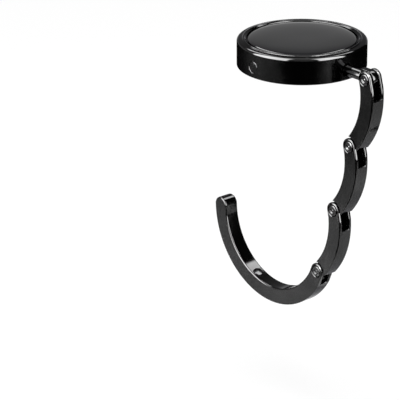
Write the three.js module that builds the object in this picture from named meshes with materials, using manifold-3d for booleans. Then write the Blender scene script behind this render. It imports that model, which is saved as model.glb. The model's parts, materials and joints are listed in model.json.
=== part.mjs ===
// Folding purse hook for a table edge. A round weighted disc lies on the table. A rod slides out of its
// rim and turns, and carries three curved links and a hook arm. They hang below the table edge in use,
// and fold into a ring round the disc when the hook is put away.
//
// Millimetres. +Z is up, and the origin is the centre of the pad's underside, on the table. The rod runs
// along +X. The hook is drawn open: rod out, each hinge on its open stop, the hook arm curling to -X.
//
// Every link is drawn in the frame of its first hinge pin, as it lies in the folded ring: +X points away
// from the ring's centre, -Z runs along the ring towards the next pin, and the pin lies along Y.

import * as THREE from 'three';
import { mergeVertices, toCreasedNormals } from 'three/addons/utils/BufferGeometryUtils.js';
import Module from 'manifold-3d';

const wasm = await Module();
wasm.setup();

const degrees = THREE.MathUtils.degToRad;

// The folded ring
const RING_OUTER_R = 22.5;
const RING_BAND = 4.5;
const PIN_INWARD = 0.15;
const LINK_THICKNESS = 4.3;
const EDGE_ROUND = 0.4;
const LINK_PITCH = degrees(60);
const HOOK_SWEEP = degrees(163);

// How far each hinge opens from the folded ring to its stop, from the rod to the hook arm
const FIRST_OPENING = degrees(15);
const LINK_OPENING = degrees(59);
const HOOK_OPENING = degrees(25);

// Clevis and tongue
const EAR_INSET = 0.05;
const SLOT_WIDTH = 2.3;
const SLOT_FLOOR = 5.7;
const HOOK_SLOT_FLOOR = 3.3;
const TONGUE_SIDE_GAP = 0.25;
const TONGUE_EYE_INSET = 0.3;
const TONGUE_ROOT = 3.6;
const END_GAP = 0.45;
const END_CHAMFER = 0.3;
const END_FLAT_OUTER = 2.1;
const END_FLAT_INNER = 1.75;
const WEB_FACE = 1.15;
const HEEL_WIDTH = 0.65;
const HEEL_BITE = 0.35;
const HEEL_SIDE_INSET = 0.08;
const STOP_GAP = 0.3;

// Rivets
const PIN_R = 0.8;
const PIN_EYE_GAP = 0.1;
const PIN_EAR_GAP = 0.1;
const PIN_HEAD_R = 1.45;
const PIN_HEAD_DEPTH = 0.45;
const PIN_HEAD_GAP = 0.15;
const PIN_HEAD_SEAT_GAP = 0.05;
const PIN_HEAD_PROUD = 0.08;
const PIN_HEAD_EDGE = 0.25;
const PIN_DIMPLE_R = 0.95;
const PIN_DIMPLE_SLOPE = 0.25;
const PIN_DIMPLE_DEPTH = 0.25;

// Disc
const RING_GAP = 1.1;
const PAD_PROUD = 0.6;
const HOUSING_HEIGHT = 7.4;
const HOUSING_FOOT_CHAMFER = 0.2;
const RIM_WIDTH = 2.4;
const RIM_ROUND = 0.7;
const RIM_FALL = 0.15;
const RIM_INNER_ROUND = 0.3;
const DOME_RECESS = 0.9;
const DOME_GAP = 0.5;
const DOME_EDGE_HEIGHT = 0.3;
const DOME_CROWN = 0.75;
const DOME_EDGE_POWER = 3.2;
const TOP_PLATE = 0.5;
const WALL = 5;
const BASE_PLATE_THICKNESS = 0.5;
const BASE_PLATE_LEDGE = 3.5;
const BASE_PLATE_GAP = 0.3;
const PAD_THICKNESS = 0.75;
const PAD_INSET = 0.3;
const PAD_EDGE = 0.2;
const ADHESIVE_THICKNESS = 0.15;
const ADHESIVE_INSET = 0.4;

// Swivel rod and its slide
const ROD_RISE = 2.7;
const ROD_R = 1.45;
const ROD_TRAVEL = 5.2;
const ROD_GAP = 0.1;
const ROD_BORE_CHAMFER = 0.25;
const SHOULDER_GAP = 0.3;
const LUG_HALF_WIDTH = 2.1;
const LUG_CLEARANCE = 0.3;
const LUG_LAP = 0.15;
const ROD_EDGE = 0.2;
const BLOCK_LENGTH = 4;
const BLOCK_WIDTH = 5;
const BLOCK_GAP = 0.2;
const BLOCK_STOP_GAP = 0.3;
const NECK_R = 1;
const NECK_STEP = 0.15;
const NECK_GAP = 0.1;
const RETAINER_R = 1.45;
const RETAINER_THICKNESS = 0.7;
const RETAINER_GAP = 0.3;
const RETAINER_BORE_GAP = 0.05;
const ROD_TAIL = 0.3;

// Magnets: two in the disc's rim, and the two that they meet in the folded ring
const MAGNET_R = 1.45;
const MAGNET_LENGTH = 1.9;
const MAGNET_GAP = 0.1;
const MAGNET_SINK = 0.1;
const MAGNET_RISE = 0.2;
const RING_MAGNET_R = 1.2;
const RING_MAGNET_LENGTH = 1.4;

const CUT_OVERRUN = 1;

// Facets
const RING_FACET = degrees(4);
const EAR_FACET = degrees(15);
const DISC_SIDES = 80;
const ROUND_SIDES = 28;
const PIN_SIDES = 20;
const DOME_RINGS = 7;
const RIM_ROUND_STEPS = 4;
const EDGE_ROUND_STEPS = 2;
const CREASE_ANGLE = degrees(30);

// Sizes that follow from the ones above
const RING_INNER_R = RING_OUTER_R - RING_BAND;
const RING_MIDDLE_R = RING_OUTER_R - RING_BAND / 2;
const PIN_RING_R = RING_MIDDLE_R - PIN_INWARD;
const EAR_R = RING_BAND / 2 - EAR_INSET;
const HOUSING_R = RING_INNER_R - RING_GAP;
const HOUSING_TOP = PAD_PROUD + HOUSING_HEIGHT;
const ROD_AXIS_HEIGHT = PAD_PROUD + ROD_RISE;
const MAGNET_HEIGHT = ROD_AXIS_HEIGHT + MAGNET_RISE;
const DOME_RECESS_R = HOUSING_R - RIM_WIDTH;
const DOME_FLOOR = HOUSING_TOP - DOME_RECESS;
const CAVITY_CEILING = DOME_FLOOR - TOP_PLATE;
const CAVITY_R = HOUSING_R - WALL;
const BASE_PLATE_FACE = PAD_THICKNESS + ADHESIVE_THICKNESS;
const CAVITY_FLOOR = BASE_PLATE_FACE + BASE_PLATE_THICKNESS;
const BASE_RECESS_R = CAVITY_R + BASE_PLATE_LEDGE;
const BASE_PLATE_R = BASE_RECESS_R - BASE_PLATE_GAP;
const PAD_R = BASE_PLATE_R - PAD_INSET;
const DOME_R = DOME_RECESS_R - DOME_GAP;
const DOME_SEAT = DOME_FLOOR + ADHESIVE_THICKNESS;
const TONGUE_THICKNESS = SLOT_WIDTH - 2 * TONGUE_SIDE_GAP;
const TONGUE_EYE_R = EAR_R - TONGUE_EYE_INSET;
const WEB_START = LUG_HALF_WIDTH + LUG_CLEARANCE;
const PIN_TO_SHOULDER = PIN_RING_R - HOUSING_R - SHOULDER_GAP;
const FIRST_PIN_X = PIN_RING_R + ROD_TRAVEL;
const BLOCK_FRONT = CAVITY_R - BLOCK_STOP_GAP;
const BLOCK_BACK = BLOCK_FRONT - BLOCK_LENGTH;
const RETAINER_FRONT = BLOCK_BACK - RETAINER_GAP;
const RETAINER_BACK = RETAINER_FRONT - RETAINER_THICKNESS;

// Points and outlines, all in the plane of the folded ring

/** Points of an arc from one angle to another, in facets no wider than the given one. */
function arcPoints(centre, radius, from, to, facet) {
  const steps = Math.max(1, Math.ceil(Math.abs(to - from) / facet));
  const points = [];
  for (let i = 0; i <= steps; i++) {
    const angle = from + (to - from) * i / steps;
    points.push(new THREE.Vector2(centre.x + radius * Math.cos(angle), centre.y + radius * Math.sin(angle)));
  }
  return points;
}

/** The points turned about the pin at the origin, from +X towards +Z. */
function turned(points, angle) {
  return points.map((p) => p.clone().rotateAround(new THREE.Vector2(), angle));
}

/** Corners of a rectangle in the order that an outline needs. */
function rectangle(left, right, bottom, top) {
  return [
    new THREE.Vector2(left, bottom),
    new THREE.Vector2(right, bottom),
    new THREE.Vector2(right, top),
    new THREE.Vector2(left, top),
  ];
}

const RING_CENTRE = new THREE.Vector2(-PIN_RING_R, 0);

/** A link's blank: a round ear about its first pin that runs into the band of the ring. */
function bandOutline(endPoints, endAngle) {
  const outerStart = -Math.acos((PIN_RING_R + EAR_R) / RING_OUTER_R);
  const innerStart = -Math.acos((PIN_RING_R - EAR_R) / RING_INNER_R);
  return [
    ...arcPoints(new THREE.Vector2(), EAR_R, 0, Math.PI, EAR_FACET),
    ...arcPoints(RING_CENTRE, RING_INNER_R, innerStart, -endAngle, RING_FACET),
    ...endPoints,
    ...arcPoints(RING_CENTRE, RING_OUTER_R, -endAngle, outerStart, RING_FACET),
  ];
}

/** The rounded end of the hook arm, from the ring's inside to its outside. */
function tipPoints(tipAngle) {
  const centre = new THREE.Vector2(RING_MIDDLE_R, 0).rotateAround(new THREE.Vector2(), -tipAngle).add(RING_CENTRE);
  const start = Math.PI - tipAngle;
  return arcPoints(centre, RING_BAND / 2, start, start + Math.PI, EAR_FACET).slice(1, -1);
}

/** The part of the slot that the tongue's heel moves in, with the web whose face stops it. */
function slotOutline(floorDepth, stopTurn) {
  const reach = EAR_R + CUT_OVERRUN;
  const alongStop = (depth) => {
    const run = (depth - WEB_FACE * Math.sin(stopTurn)) / Math.cos(stopTurn);
    return new THREE.Vector2(run * Math.sin(stopTurn) - WEB_FACE * Math.cos(stopTurn), -depth);
  };
  return [
    new THREE.Vector2(-reach, reach),
    new THREE.Vector2(-reach, -WEB_START),
    alongStop(WEB_START),
    alongStop(floorDepth),
    new THREE.Vector2(reach, -floorDepth),
    new THREE.Vector2(reach, reach),
  ];
}

/** A tongue's outline: a strip of the eye's width that ends in the round eye about the pin. */
function tongueOutline(eyeR, root) {
  return [
    new THREE.Vector2(-eyeR, root),
    ...arcPoints(new THREE.Vector2(), eyeR, Math.PI, 2 * Math.PI, EAR_FACET),
    new THREE.Vector2(eyeR, root),
  ];
}

/** The heel of a tongue that opens by the given angle: open, it points along the link and meets the web. */
function heelOutline(opening) {
  const left = STOP_GAP - WEB_FACE;
  return turned(rectangle(left, left + HEEL_WIDTH, -(WEB_START + HEEL_BITE), 0), opening);
}

// Solids

/** A closed solid of a geometry, with its shared vertices merged and its faces turned outward. */
function solidOf(geometry) {
  geometry.deleteAttribute('normal');
  geometry.deleteAttribute('uv');
  const merged = mergeVertices(geometry);
  const index = merged.index.array;
  const triangles = [];
  for (let i = 0; i < index.length; i += 3) {
    const [a, b, c] = [index[i], index[i + 1], index[i + 2]];
    if (a !== b && b !== c && c !== a) triangles.push(a, b, c);
  }
  const mesh = new wasm.Mesh({
    numProp: 3,
    vertProperties: new Float32Array(merged.attributes.position.array),
    triVerts: new Uint32Array(triangles),
  });
  return new wasm.Manifold(mesh);
}

/** The triangles of a solid as a geometry that three.js can show. */
function geometryOf(solid) {
  const mesh = solid.getMesh();
  const geometry = new THREE.BufferGeometry();
  geometry.setAttribute('position', new THREE.BufferAttribute(new Float32Array(mesh.vertProperties), 3));
  geometry.setIndex(new THREE.BufferAttribute(new Uint32Array(mesh.triVerts), 1));
  return toCreasedNormals(geometry, CREASE_ANGLE);
}

/** A plate with the given outline in the ring's plane, centred on that plane. */
function plate(outline, thickness, edge = 0) {
  const geometry = new THREE.ExtrudeGeometry(new THREE.Shape(outline), {
    depth: thickness - 2 * edge,
    bevelEnabled: edge > 0,
    bevelThickness: edge,
    bevelSize: edge,
    bevelOffset: -edge,
    bevelSegments: EDGE_ROUND_STEPS,
    curveSegments: 1,
  });
  geometry.translate(0, 0, edge - thickness / 2);
  geometry.rotateX(Math.PI / 2);
  return solidOf(geometry);
}

/** A turned piece: pairs of radius and place along +Z, listed upward on the outside. */
function turnedSolid(profile, sides) {
  const geometry = new THREE.LatheGeometry(profile.map(([r, z]) => new THREE.Vector2(r, z)), sides);
  geometry.rotateX(Math.PI / 2);
  return solidOf(geometry);
}

/** A plain round bar between two places along +Z. */
function bar(radius, from, to, sides = ROUND_SIDES) {
  return turnedSolid([[0, from], [radius, from], [radius, to], [0, to]], sides);
}

/** A block between two corners. */
function block(low, high) {
  const size = high.clone().sub(low);
  const geometry = new THREE.BoxGeometry(size.x, size.y, size.z);
  geometry.translate(...low.clone().add(high).divideScalar(2).toArray());
  return solidOf(geometry);
}

const alongX = (solid) => solid.rotate([0, 90, 0]);
const alongY = (solid) => solid.rotate([-90, 0, 0]);

// Disc

/** The rim and top of the housing, open below, with its recess for the dome. */
function housing() {
  const rimRound = arcPoints(
    new THREE.Vector2(HOUSING_R - RIM_ROUND, HOUSING_TOP - RIM_ROUND),
    RIM_ROUND, 0, Math.PI / 2, Math.PI / 2 / RIM_ROUND_STEPS,
  ).map((p) => [p.x, p.y]);
  const innerEdge = HOUSING_TOP - RIM_FALL;
  const shell = turnedSolid([
    [0, CAVITY_CEILING],
    [CAVITY_R, CAVITY_CEILING],
    [CAVITY_R, CAVITY_FLOOR],
    [BASE_RECESS_R, CAVITY_FLOOR],
    [BASE_RECESS_R, PAD_PROUD],
    [HOUSING_R - HOUSING_FOOT_CHAMFER, PAD_PROUD],
    [HOUSING_R, PAD_PROUD + HOUSING_FOOT_CHAMFER],
    ...rimRound,
    [DOME_RECESS_R + RIM_INNER_ROUND, innerEdge],
    [DOME_RECESS_R, innerEdge - RIM_INNER_ROUND],
    [DOME_RECESS_R, DOME_FLOOR],
    [0, DOME_FLOOR],
  ], DISC_SIDES);
  const boreR = ROD_R + ROD_GAP;
  const rodBore = alongX(turnedSolid([
    [0, CAVITY_R - CUT_OVERRUN],
    [boreR, CAVITY_R - CUT_OVERRUN],
    [boreR, HOUSING_R - ROD_BORE_CHAMFER],
    [boreR + ROD_BORE_CHAMFER + CUT_OVERRUN, HOUSING_R + CUT_OVERRUN],
    [0, HOUSING_R + CUT_OVERRUN],
  ], ROUND_SIDES));
  const magnetEnd = HOUSING_R - MAGNET_SINK - MAGNET_LENGTH - MAGNET_GAP;
  const magnetBore = alongY(bar(MAGNET_R + MAGNET_GAP, magnetEnd, HOUSING_R + CUT_OVERRUN));
  return shell
    .subtract(rodBore.translate([0, 0, ROD_AXIS_HEIGHT]))
    .subtract(magnetBore.translate([0, 0, MAGNET_HEIGHT]))
    .subtract(magnetBore.rotate([0, 0, 180]).translate([0, 0, MAGNET_HEIGHT]));
}

/** The glossy insert: nearly flat in the middle, and rolled down at its edge. */
function domeInsert() {
  const profile = [[0, DOME_SEAT], [DOME_R, DOME_SEAT]];
  for (let i = 0; i < DOME_RINGS; i++) {
    const share = Math.cos(Math.PI / 2 * i / DOME_RINGS);
    const rise = Math.pow(1 - Math.pow(share, DOME_EDGE_POWER), 1 / 2);
    profile.push([DOME_R * share, DOME_SEAT + DOME_EDGE_HEIGHT + DOME_CROWN * rise]);
  }
  profile.push([0, DOME_SEAT + DOME_EDGE_HEIGHT + DOME_CROWN]);
  return turnedSolid(profile, DISC_SIDES);
}

/** The thin adhesive sheet under the insert. */
function domeAdhesive() {
  return bar(DOME_R - ADHESIVE_INSET, DOME_FLOOR, DOME_SEAT, DISC_SIDES);
}

/** The plate that closes the housing from below. */
function basePlate() {
  return bar(BASE_PLATE_R, BASE_PLATE_FACE, CAVITY_FLOOR, DISC_SIDES);
}

/** The thin adhesive sheet between the base plate and the pad. */
function padAdhesive() {
  return bar(PAD_R - ADHESIVE_INSET, PAD_THICKNESS, BASE_PLATE_FACE, DISC_SIDES);
}

/** The rubber pad that the disc stands on. */
function antiSlipPad() {
  return turnedSolid([
    [0, 0],
    [PAD_R - PAD_EDGE, 0],
    [PAD_R, PAD_EDGE],
    [PAD_R, PAD_THICKNESS],
    [0, PAD_THICKNESS],
  ], DISC_SIDES);
}

/** A round magnet plug in the rim, on the +Y side. */
function rimMagnet() {
  const outerEnd = HOUSING_R - MAGNET_SINK;
  return alongY(bar(MAGNET_R, outerEnd - MAGNET_LENGTH, outerEnd)).translate([0, 0, MAGNET_HEIGHT]);
}

// Swivel rod and its slide, with the rod's axis on X

/** The block that slides with the rod between base plate and top plate, and that the rod turns in. */
function sliderBlock() {
  const body = block(
    new THREE.Vector3(BLOCK_BACK, -BLOCK_WIDTH / 2, CAVITY_FLOOR + BLOCK_GAP - ROD_AXIS_HEIGHT),
    new THREE.Vector3(BLOCK_FRONT, BLOCK_WIDTH / 2, CAVITY_CEILING - BLOCK_GAP - ROD_AXIS_HEIGHT),
  );
  const bore = alongX(bar(NECK_R + NECK_GAP, BLOCK_BACK - CUT_OVERRUN, BLOCK_FRONT + CUT_OVERRUN));
  return body.subtract(bore);
}

/** The ring on the rod's inner end that keeps the block on its neck. */
function retainer() {
  const bore = NECK_R + RETAINER_BORE_GAP;
  return alongX(turnedSolid([
    [bore, RETAINER_BACK],
    [RETAINER_R, RETAINER_BACK],
    [RETAINER_R, RETAINER_FRONT],
    [bore, RETAINER_FRONT],
    [bore, RETAINER_BACK],
  ], ROUND_SIDES));
}

/** The rod, necked at its inner end, with the flat lug that the first link turns on. */
function swivelRod() {
  const shaftEnd = FIRST_PIN_X - PIN_TO_SHOULDER + LUG_LAP;
  const shaft = alongX(turnedSolid([
    [0, RETAINER_BACK - ROD_TAIL],
    [NECK_R, RETAINER_BACK - ROD_TAIL],
    [NECK_R, BLOCK_FRONT],
    [ROD_R, BLOCK_FRONT + NECK_STEP],
    [ROD_R, shaftEnd - ROD_EDGE],
    [ROD_R - ROD_EDGE, shaftEnd],
    [0, shaftEnd],
  ], ROUND_SIDES)).translate([-FIRST_PIN_X, 0, 0]);
  const lug = plate(turned(tongueOutline(LUG_HALF_WIDTH, PIN_TO_SHOULDER), Math.PI / 2), TONGUE_THICKNESS);
  const heel = plate(heelOutline(FIRST_OPENING), TONGUE_THICKNESS - 2 * HEEL_SIDE_INSET);
  return shaft.add(lug).add(heel).subtract(pinHole(PIN_EYE_GAP));
}

// Links and hook arm

/** A hole through everything at the first pin. */
function pinHole(gap) {
  const reach = LINK_THICKNESS / 2 + CUT_OVERRUN;
  return alongY(bar(PIN_R + gap, -reach, reach));
}

/** What the hinge takes out of a clevis: the slot, the pin's hole and the seats of its two heads. */
function clevisCut(floorDepth, stopTurn) {
  const headSeat = LINK_THICKNESS / 2 - PIN_HEAD_DEPTH - PIN_HEAD_SEAT_GAP;
  const seat = alongY(bar(PIN_HEAD_R + PIN_HEAD_GAP, headSeat, LINK_THICKNESS / 2 + CUT_OVERRUN));
  return plate(slotOutline(floorDepth, stopTurn), SLOT_WIDTH)
    .add(pinHole(PIN_EAR_GAP))
    .add(seat)
    .add(seat.rotate([180, 0, 0]));
}

/** What shapes a link's far end round the next ear: a scallop with flared edges, and two flats. */
function farEndCut() {
  const radius = EAR_R + END_GAP;
  const half = LINK_THICKNESS / 2;
  const scallop = alongY(turnedSolid([
    [0, -half - END_CHAMFER],
    [radius + 2 * END_CHAMFER, -half - END_CHAMFER],
    [radius, END_CHAMFER - half],
    [radius, half - END_CHAMFER],
    [radius + 2 * END_CHAMFER, half + END_CHAMFER],
    [0, half + END_CHAMFER],
  ], ROUND_SIDES));
  const reach = EAR_R + CUT_OVERRUN;
  const outerFlat = plate(rectangle(0, reach, -reach, END_FLAT_OUTER), LINK_THICKNESS + CUT_OVERRUN);
  const innerFlat = plate(rectangle(-reach, 0, -reach, END_FLAT_INNER), LINK_THICKNESS + CUT_OVERRUN);
  return scallop.add(outerFlat).add(innerFlat);
}

/** The tongue at a link's far end: a strip with a round eye and the heel that stops the hinge. */
function tongue() {
  const strip = plate(tongueOutline(TONGUE_EYE_R, TONGUE_ROOT), TONGUE_THICKNESS);
  const heel = plate(heelOutline(LINK_OPENING), TONGUE_THICKNESS - 2 * HEEL_SIDE_INSET);
  return strip.add(heel).subtract(pinHole(PIN_EYE_GAP));
}

/** Moves a solid from a link's first pin to a place further round the ring. */
function roundRing(solid, angle) {
  return solid
    .translate([PIN_RING_R, 0, 0])
    .rotate([0, THREE.MathUtils.radToDeg(angle), 0])
    .translate([-PIN_RING_R, 0, 0]);
}

/** A magnet's pocket in the band's inner face, or the magnet itself where the gap is zero. */
function ringMagnet(angle, gap) {
  const face = RING_INNER_R + (gap > 0 ? -CUT_OVERRUN : MAGNET_SINK);
  const bottom = RING_INNER_R + MAGNET_SINK + RING_MAGNET_LENGTH + gap;
  const plug = alongX(bar(RING_MAGNET_R + gap, face, bottom)).translate([-PIN_RING_R, 0, 0]);
  return roundRing(plug, angle);
}

/** One of the three links: a clevis at its first pin and a tongue at the next. */
function link() {
  const blank = plate(bandOutline([], LINK_PITCH), LINK_THICKNESS, EDGE_ROUND);
  return blank
    .subtract(roundRing(farEndCut(), LINK_PITCH))
    .add(roundRing(tongue(), LINK_PITCH))
    .subtract(clevisCut(SLOT_FLOOR, 0));
}

/** The link that one rim magnet holds, with its own magnet's pocket. */
function magnetLink() {
  return link().subtract(ringMagnet(LINK_PITCH / 2, MAGNET_GAP));
}

/** The hook arm: a clevis, nearly half the ring, and a rounded tip. */
function hookArm() {
  const tipAngle = HOOK_SWEEP - RING_BAND / 2 / RING_MIDDLE_R;
  const outline = bandOutline(tipPoints(tipAngle), tipAngle);
  return plate(outline, LINK_THICKNESS, EDGE_ROUND)
    .subtract(clevisCut(HOOK_SLOT_FLOOR, LINK_OPENING - HOOK_OPENING))
    .subtract(ringMagnet(Math.PI / 2, MAGNET_GAP));
}

/** A rivet through a clevis, with a low dimpled head at each side. */
function hingePin() {
  const face = LINK_THICKNESS / 2;
  const head = [
    [PIN_R, face - PIN_HEAD_DEPTH],
    [PIN_HEAD_R, face - PIN_HEAD_DEPTH],
    [PIN_HEAD_R, face + PIN_HEAD_PROUD - PIN_HEAD_EDGE],
    [PIN_HEAD_R - PIN_HEAD_EDGE, face + PIN_HEAD_PROUD],
    [PIN_DIMPLE_R, face + PIN_HEAD_PROUD],
    [PIN_DIMPLE_R - PIN_DIMPLE_SLOPE, face + PIN_HEAD_PROUD - PIN_DIMPLE_DEPTH],
    [0, face + PIN_HEAD_PROUD - PIN_DIMPLE_DEPTH],
  ];
  const lower = head.map(([r, z]) => [r, -z]).reverse();
  return alongY(turnedSolid([...lower, ...head], PIN_SIDES));
}

// Materials and the scene graph

/** A material of the part's colour, roughness and metalness. */
function material(color, roughness, metalness) {
  return new THREE.MeshStandardMaterial({ color, roughness, metalness });
}

const blackNickel = () => material(0x2b2b2e, 0.18, 1);
const steel = () => material(0x8c8c90, 0.3, 1);
const tape = () => material(0x3a3a38, 0.7, 0);

/** A named mesh of a solid. */
function piece(name, solid, look) {
  const mesh = new THREE.Mesh(geometryOf(solid), look);
  mesh.name = name;
  return mesh;
}

/** A frame that carries pieces and other frames, at a hinge pin and turned about it. */
function frame(x, z, turn, ...children) {
  const group = new THREE.Group();
  group.position.set(x, 0, z);
  group.rotation.y = turn;
  group.add(...children);
  return group;
}

/** The next link's frame at this link's far pin, opened from the folded ring. */
function nextFrame(opening, ...children) {
  const x = PIN_RING_R * (Math.cos(LINK_PITCH) - 1);
  const z = -PIN_RING_R * Math.sin(LINK_PITCH);
  return frame(x, z, LINK_PITCH - opening, ...children);
}

const backMagnet = piece('rim_magnet_back', rimMagnet(), steel());
const frontMagnet = piece('rim_magnet_front', rimMagnet(), steel());
frontMagnet.rotation.z = Math.PI;

const rodFrame = frame(FIRST_PIN_X, ROD_AXIS_HEIGHT, 0,
  piece('swivel_rod', swivelRod(), blackNickel()),
  piece('rod_retaining_ring', retainer().translate([-FIRST_PIN_X, 0, 0]), steel()),
  piece('slider_block', sliderBlock().translate([-FIRST_PIN_X, 0, 0]), material(0x1c1c1e, 0.5, 0)),
  frame(0, 0, -FIRST_OPENING,
    piece('link_1', link(), blackNickel()),
    piece('hinge_pin_1', hingePin(), blackNickel()),
    nextFrame(LINK_OPENING,
      piece('link_2', magnetLink(), blackNickel()),
      piece('hinge_pin_2', hingePin(), blackNickel()),
      piece('link_2_magnet', ringMagnet(LINK_PITCH / 2, 0), steel()),
      nextFrame(LINK_OPENING,
        piece('link_3', link(), blackNickel()),
        piece('hinge_pin_3', hingePin(), blackNickel()),
        nextFrame(HOOK_OPENING,
          piece('hook_arm', hookArm(), blackNickel()),
          piece('hinge_pin_4', hingePin(), blackNickel()),
          piece('hook_magnet', ringMagnet(Math.PI / 2, 0), steel()),
        ),
      ),
    ),
  ),
);

const purseHook = new THREE.Group();
purseHook.name = 'purse_hook';
purseHook.add(
  piece('housing', housing(), blackNickel()),
  piece('dome_insert', domeInsert(), material(0x050506, 0.08, 0)),
  piece('dome_adhesive', domeAdhesive(), tape()),
  piece('base_plate', basePlate(), blackNickel()),
  piece('pad_adhesive', padAdhesive(), tape()),
  piece('anti_slip_pad', antiSlipPad(), material(0x141414, 0.85, 0)),
  backMagnet,
  frontMagnet,
  rodFrame,
);

export default purseHook;
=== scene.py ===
"""Folding purse hook: a gloss black disc, a swivel rod, three curved links and a hook arm.

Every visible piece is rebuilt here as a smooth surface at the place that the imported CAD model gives.
Pieces are modelled in millimetres and brought to metres when they are finished.
"""
import json
import logging
import math
from dataclasses import dataclass
from enum import Enum, IntEnum
from typing import Optional, Sequence, Union

import bmesh
import bpy
import numpy as np
from mathutils import Matrix, Vector


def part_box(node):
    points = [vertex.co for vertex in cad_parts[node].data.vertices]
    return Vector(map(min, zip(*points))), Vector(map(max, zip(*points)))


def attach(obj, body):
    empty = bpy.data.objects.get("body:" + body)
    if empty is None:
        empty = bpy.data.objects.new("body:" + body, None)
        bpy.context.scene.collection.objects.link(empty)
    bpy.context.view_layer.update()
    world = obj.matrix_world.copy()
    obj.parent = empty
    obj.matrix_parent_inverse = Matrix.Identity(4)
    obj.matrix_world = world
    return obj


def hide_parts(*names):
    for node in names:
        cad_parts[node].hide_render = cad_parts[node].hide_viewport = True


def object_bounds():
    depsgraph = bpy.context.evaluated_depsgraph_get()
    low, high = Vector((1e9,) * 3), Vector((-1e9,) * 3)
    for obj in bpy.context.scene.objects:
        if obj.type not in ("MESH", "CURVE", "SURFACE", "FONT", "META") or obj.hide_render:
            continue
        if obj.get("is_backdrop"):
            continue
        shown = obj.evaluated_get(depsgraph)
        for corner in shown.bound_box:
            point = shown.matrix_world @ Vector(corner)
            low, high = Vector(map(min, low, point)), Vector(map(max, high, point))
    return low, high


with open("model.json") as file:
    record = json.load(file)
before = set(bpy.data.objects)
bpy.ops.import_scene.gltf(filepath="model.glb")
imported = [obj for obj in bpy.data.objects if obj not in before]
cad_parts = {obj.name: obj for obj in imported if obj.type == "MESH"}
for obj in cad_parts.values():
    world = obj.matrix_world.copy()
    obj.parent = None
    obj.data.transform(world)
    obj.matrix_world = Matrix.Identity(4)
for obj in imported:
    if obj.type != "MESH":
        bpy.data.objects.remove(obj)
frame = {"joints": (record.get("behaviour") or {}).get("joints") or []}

log = logging.getLogger("purse_hook")

Piece = bpy.types.Object
Material = bpy.types.Material
Socket = bpy.types.NodeSocket
Feed = Union[Socket, float, Sequence[float]]

MM = 0.001
JOINTS = {joint["name"]: joint for joint in frame["joints"]}
QUARTER = math.pi / 2
# Points that lie closer than this are one, in the mesh's own unit
WELD = 1e-5
# How close to a plane a point counts as in it, in millimetres
IN_PLANE = 1e-3
# Edges sharper than these are rounded, and stay sharp in the shading, in degrees
ROUNDED_FROM = 38.0
SHARP_FROM = 32.0
# How far a cutting tool reaches past what it cuts, and the rounding of its own edges, in millimetres
BEYOND = 1.0
TOOL_EDGE = 0.02
# The rod's radius in millimetres
ROD_RADIUS = 1.45

# The photograph's view: where the camera stands, and where the aimed point lies in the picture
VIEW_AZIMUTH = math.radians(47.32)
VIEW_ELEVATION = math.radians(21.0)
VIEW_ROLL = math.radians(0.57)
VIEW_DISTANCE = 0.6
VIEW_POINT = (0.0, 0.0, -0.0244)
PICTURE_SIZE = 400.0
AIMED_PIXEL = (300.95, 154.09)
FOCAL_PIXELS = 2276.43
SENSOR_MM = 36.0
NEAREST_SEEN = 0.01


class Axis(Enum):
    """The axis that a turned shape lies on, as the order in which its own x, y and height are taken."""

    X = (2, 0, 1)
    Y = (1, 2, 0)
    Z = (0, 1, 2)


class Sides(IntEnum):
    """Facets round a turned shape, from the disc's rim down to the plugs in the links."""

    RIM = 256
    DOME = 192
    PLATE = 160
    SHAFT = 96
    PIN = 72
    SMALL = 64
    PLUG = 48


class Cut(Enum):
    """How one solid acts on another."""

    TAKE = "DIFFERENCE"
    JOIN = "UNION"


class Fade(Enum):
    """How a value goes from one stop to the next: straight, eased in a ramp of greys, or smooth in a span."""

    STRAIGHT = "LINEAR"
    EASED = "EASE"
    SMOOTH = "SMOOTHSTEP"


class Pair(Enum):
    """How two values become one."""

    PRODUCT = "MULTIPLY"
    LARGER = "MAXIMUM"


# Meshes

def box_mm(node: str) -> tuple:
    """The lowest and the highest corner of a CAD node, in millimetres."""
    low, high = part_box(node)
    return np.array(low) / MM, np.array(high) / MM


def joint_mm(name: str) -> np.ndarray:
    """Where a joint's axis stands, in millimetres."""
    return np.array(JOINTS[name]["pos_m"]) / MM


def mesh_object(name: str, points: np.ndarray, faces: Sequence[Sequence[int]]) -> Piece:
    """Puts points and faces into a new object in the scene.

    Args:
        name: The object's name.
        points: Array of shape (n, 3).
        faces: The corners of each face.

    Returns:
        The new object, with its faces turned outward.
    """
    mesh = bpy.data.meshes.new(name)
    mesh.from_pydata(points.tolist(), [], [list(face) for face in faces])
    work = bmesh.new()
    work.from_mesh(mesh)
    bmesh.ops.remove_doubles(work, verts=work.verts, dist=WELD)
    bmesh.ops.recalc_face_normals(work, faces=work.faces)
    work.to_mesh(mesh)
    work.free()
    thing = bpy.data.objects.new(name, mesh)
    bpy.context.scene.collection.objects.link(thing)
    return thing


def grid_faces(rows: int, columns: int, closed: bool = True) -> list:
    """Quads of a grid of points, row by row from the first.

    Args:
        rows: Number of rows.
        columns: Points in each row.
        closed: Whether each row is a ring.

    Returns:
        Corner numbers of each quad.
    """
    across = columns if closed else columns - 1
    row, column = np.meshgrid(np.arange(rows - 1), np.arange(across), indexing="ij")
    first, after = row * columns + column, row * columns + (column + 1) % columns
    return np.stack([first, after, after + columns, first + columns], axis=-1).reshape(-1, 4).tolist()


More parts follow.
